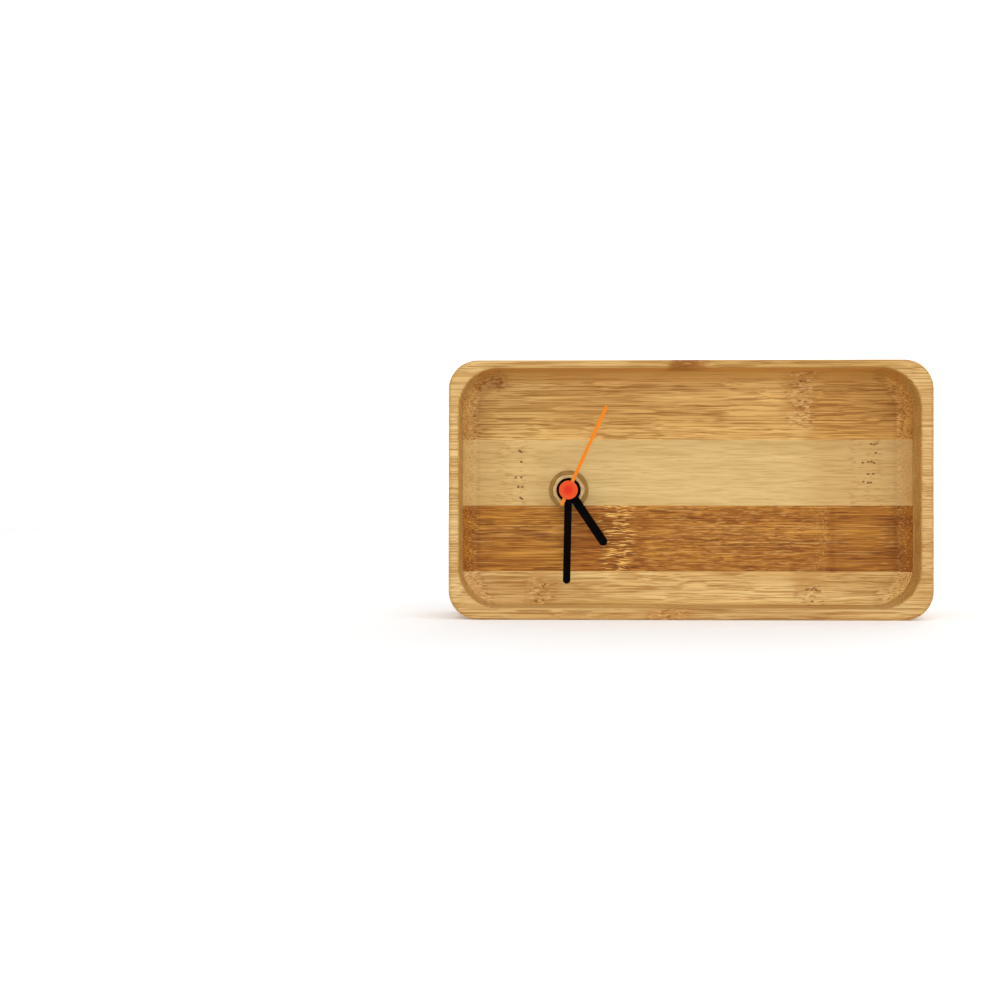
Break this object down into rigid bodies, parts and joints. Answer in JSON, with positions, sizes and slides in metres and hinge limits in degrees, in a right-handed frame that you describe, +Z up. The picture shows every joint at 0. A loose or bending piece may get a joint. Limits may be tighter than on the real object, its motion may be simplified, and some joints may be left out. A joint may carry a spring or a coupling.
{
  "type": "wooden desk clock",
  "caption": "Free-standing desk clock: a laminated bamboo block with a wide rounded recess, hands on the left of its bare dial and a battery quartz movement in a pocket at the back.",
  "frame": {"origin": "middle of the flat base, on the surface that the clock stands on", "axes": "+Z up, +X to the right seen from the front, the dial faces -Y"},
  "size_m": [0.16, 0.038, 0.086],
  "materials": {
    "front_bamboo": "satin",
    "strip_medium": "satin",
    "strip_light": "satin",
    "strip_dark": "satin",
    "rear_bamboo": "satin",
    "bush_brass": "satin",
    "washer_metal": "satin",
    "nut_metal": "satin",
    "rubber": "matte",
    "case_plastic": "matte",
    "gear_plastic": "satin",
    "plate_plastic": "satin",
    "pin_steel": "polished",
    "magnet": "satin",
    "stator_steel": "satin",
    "copper": "gloss",
    "board": "satin",
    "blob": "gloss",
    "crystal_can": "polished",
    "contact_metal": "satin",
    "battery_steel": "polished",
    "battery_mix": "matte",
    "battery_sleeve": "gloss",
    "knob_plastic": "satin",
    "hand_black": "satin",
    "hand_orange": "satin"
  },
  "bodies": {
    "clock": {"front_frame": "front_bamboo", "dial_strip_top": "strip_medium", "dial_strip_light": "strip_light", "dial_strip_dark": "strip_dark", "dial_strip_bottom": "strip_medium", "rear_block": "rear_bamboo", "threaded_bush": "bush_brass", "rubber_washer": "rubber", "washer": "washer_metal", "hex_nut": "nut_metal", "movement_case": "case_plastic", "movement_cover": "case_plastic", "wheel_pins": "pin_steel", "train_plate": "plate_plastic", "stator_plates": "stator_steel", "coil_core": "stator_steel", "coil_bobbin": "gear_plastic", "coil_winding": "copper", "circuit_board": "board", "chip_blob": "blob", "quartz_crystal": "crystal_can", "contact_negative": "contact_metal", "contact_positive": "contact_metal"},
    "seconds": {"seconds_wheel": "gear_plastic", "second_hand": "hand_orange", "second_hand_bush": "bush_brass"},
    "minutes": {"center_wheel": "gear_plastic", "minute_pinion": "gear_plastic", "minute_hand": "hand_black"},
    "hours": {"hour_wheel": "gear_plastic", "hour_hand": "hand_black"},
    "rotor": {"rotor_pinion": "gear_plastic", "rotor_magnet": "magnet"},
    "first": {"first_wheel": "gear_plastic"},
    "third": {"third_wheel": "gear_plastic"},
    "motion": {"motion_wheel": "gear_plastic"},
    "knob": {"setting_knob": "knob_plastic"},
    "battery": {"battery_can": "battery_steel", "battery_core": "battery_mix", "battery_end": "battery_steel", "battery_jacket": "battery_sleeve"}
  },
  "joints": [
    {"name": "second_hand_turn", "type": "hinge", "parent": "clock", "child": "seconds", "pos_m": [-0.0403, 0, 0.043], "axis": [0, 1, 0], "continuous": true},
    {"name": "minute_hand_turn", "type": "hinge", "parent": "clock", "child": "minutes", "pos_m": [-0.0403, 0, 0.043], "axis": [0, 1, 0], "continuous": true},
    {"name": "hour_hand_turn", "type": "hinge", "parent": "clock", "child": "hours", "pos_m": [-0.0403, 0, 0.043], "axis": [0, 1, 0], "continuous": true},
    {"name": "rotor_turn", "type": "hinge", "parent": "clock", "child": "rotor", "pos_m": [-0.02873, 0, 0.05487], "axis": [0, 1, 0], "continuous": true},
    {"name": "first_wheel_turn", "type": "hinge", "parent": "clock", "child": "first", "pos_m": [-0.0358, 0, 0.05079], "axis": [0, 1, 0], "continuous": true},
    {"name": "third_wheel_turn", "type": "hinge", "parent": "clock", "child": "third", "pos_m": [-0.04842, 0, 0.04596], "axis": [0, 1, 0], "continuous": true},
    {"name": "motion_wheel_turn", "type": "hinge", "parent": "clock", "child": "motion", "pos_m": [-0.03278, 0, 0.04026], "axis": [0, 1, 0], "continuous": true},
    {"name": "setting_knob_turn", "type": "hinge", "parent": "clock", "child": "knob", "pos_m": [-0.0249, 0, 0.03887], "axis": [0, 1, 0], "continuous": true},
    {"name": "battery_slide", "type": "slide", "parent": "clock", "child": "battery", "axis": [0, 1, 0], "range_m": [0, 0.02]}
  ],
  "couplings": [
    {"joint": "rotor_turn", "follows": "second_hand_turn", "ratio": 30},
    {"joint": "first_wheel_turn", "follows": "second_hand_turn", "ratio": -4},
    {"joint": "third_wheel_turn", "follows": "second_hand_turn", "ratio": -0.13333},
    {"joint": "minute_hand_turn", "follows": "second_hand_turn", "ratio": 0.016667},
    {"joint": "motion_wheel_turn", "follows": "second_hand_turn", "ratio": -0.0055556},
    {"joint": "hour_hand_turn", "follows": "second_hand_turn", "ratio": 0.0013889},
    {"joint": "setting_knob_turn", "follows": "second_hand_turn", "ratio": 0.016667}
  ]
}
